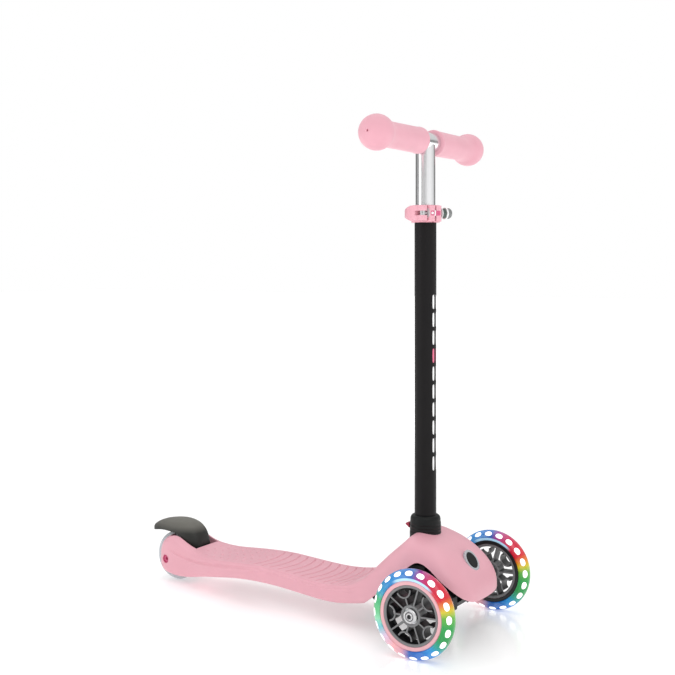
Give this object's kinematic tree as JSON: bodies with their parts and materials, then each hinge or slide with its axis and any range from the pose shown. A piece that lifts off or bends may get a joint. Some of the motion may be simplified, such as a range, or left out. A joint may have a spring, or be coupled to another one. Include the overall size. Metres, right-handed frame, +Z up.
{
  "type": "kick scooter",
  "caption": "Child's lean-to-steer kick scooter with a foot board, light-up front wheels, small rear wheel, heel brake and height-adjustable T-bar.",
  "frame": {"origin": "bottom centre of the bounding box, on the ground, on the centre line", "axes": "+X forwards, +Y to the rider's left, +Z up"},
  "size_m": [0.6266, 0.3344, 0.732],
  "materials": {
    "pink_plastic": "semi-gloss moulded plastic",
    "pink_rubber": "satin soft-touch rubber",
    "black_plastic": "satin moulded plastic",
    "black_paint": "satin powder coat",
    "aluminium": "drawn and polished",
    "steel": "zinc plated",
    "bezel_metal": "bright plated",
    "red_plastic": "gloss",
    "grey_plastic": "satin moulded plastic",
    "dark_grey_plastic": "satin moulded plastic",
    "clear_tyre": "clear cast polyurethane",
    "lamp": "clear lens over lamps",
    "rear_core_plastic": "satin moulded plastic",
    "rubber": "matt"
  },
  "bodies": {
    "chassis": {"deck_shell": "pink_plastic", "deck_ribs": "black_plastic", "steering_base": "black_plastic", "kingpin": "steel", "kingpin_nut": "steel", "steering_bushings": "rubber", "lock_bezel": "bezel_metal", "lock_spring": "steel", "column_socket": "black_plastic", "lower_tube": "black_paint", "clamp_collar": "pink_plastic", "clamp_skewer": "steel", "clamp_nut": "steel", "clamp_washers": "steel", "barrel_pin": "steel", "rear_axle": "steel", "rear_axle_nut": "steel", "rear_spacers": "steel", "fender_pin": "steel", "fender_spring": "steel"},
    "handlebar": {"upper_tube": "aluminium", "tube_plug": "black_plastic", "crossbar": "aluminium", "grip_left": "pink_rubber", "grip_right": "pink_rubber"},
    "lever": {"clamp_lever": "pink_plastic"},
    "release": {"release_button": "red_plastic"},
    "steering_lock": {"lock_button": "black_plastic"},
    "truck": {"truck_body": "black_plastic", "axle_bolt_left": "steel", "axle_bolt_right": "steel", "axle_spacers_left": "steel", "axle_spacers_right": "steel", "magnet_left": "steel", "magnet_right": "steel"},
    "front_wheel_left": {"tyre_left": "clear_tyre", "light_ring_left": "lamp", "wheel_core_left": "pink_plastic", "wheel_rim_left": "grey_plastic", "wheel_bearings_left": "steel"},
    "front_wheel_right": {"tyre_right": "clear_tyre", "light_ring_right": "lamp", "wheel_core_right": "pink_plastic", "wheel_rim_right": "grey_plastic", "wheel_bearings_right": "steel"},
    "rear_wheel": {"rear_tyre": "clear_tyre", "rear_core": "rear_core_plastic", "rear_bearings": "steel"},
    "fender": {"brake_fender": "dark_grey_plastic", "brake_pad": "rubber"}
  },
  "joints": [
    {"name": "bar_height", "type": "slide", "parent": "chassis", "child": "handlebar", "axis": [0, 0, 1], "range_m": [0, 0.13]},
    {"name": "clamp_lever_open", "type": "hinge", "parent": "chassis", "child": "lever", "pos_m": [0.21257, -0.02686, 0.602], "axis": [0, 0, 1], "range_deg": [0, 110]},
    {"name": "release_press", "type": "slide", "parent": "chassis", "child": "release", "axis": [1, 0, 0], "range_m": [0, 0.003], "stiffness_N_per_m": 600, "springref_m": -0.002},
    {"name": "lock_press", "type": "slide", "parent": "chassis", "child": "steering_lock", "axis": [-0.8241, 0, -0.5664], "range_m": [0, 0.002], "stiffness_N_per_m": 800, "springref_m": -0.002},
    {"name": "lean_steer", "type": "hinge", "parent": "chassis", "child": "truck", "pos_m": [0.25275, 0, 0.0605], "axis": [0.7071, 0, 0.7071], "range_deg": [-12, 12], "stiffness_Nm_per_rad": 60},
    {"name": "front_left_spin", "type": "hinge", "parent": "truck", "child": "front_wheel_left", "pos_m": [0.25275, 0.1275, 0.0605], "axis": [0, 1, 0], "continuous": true},
    {"name": "front_right_spin", "type": "hinge", "parent": "truck", "child": "front_wheel_right", "pos_m": [0.25275, -0.1275, 0.0605], "axis": [0, 1, 0], "continuous": true},
    {"name": "rear_spin", "type": "hinge", "parent": "chassis", "child": "rear_wheel", "pos_m": [-0.26325, 0, 0.04], "axis": [0, 1, 0], "continuous": true},
    {"name": "brake_press", "type": "hinge", "parent": "chassis", "child": "fender", "pos_m": [-0.21125, 0, 0.0535], "axis": [0, -1, 0], "range_deg": [0, 5], "stiffness_Nm_per_rad": 5, "springref_deg": -5.73}
  ]
}
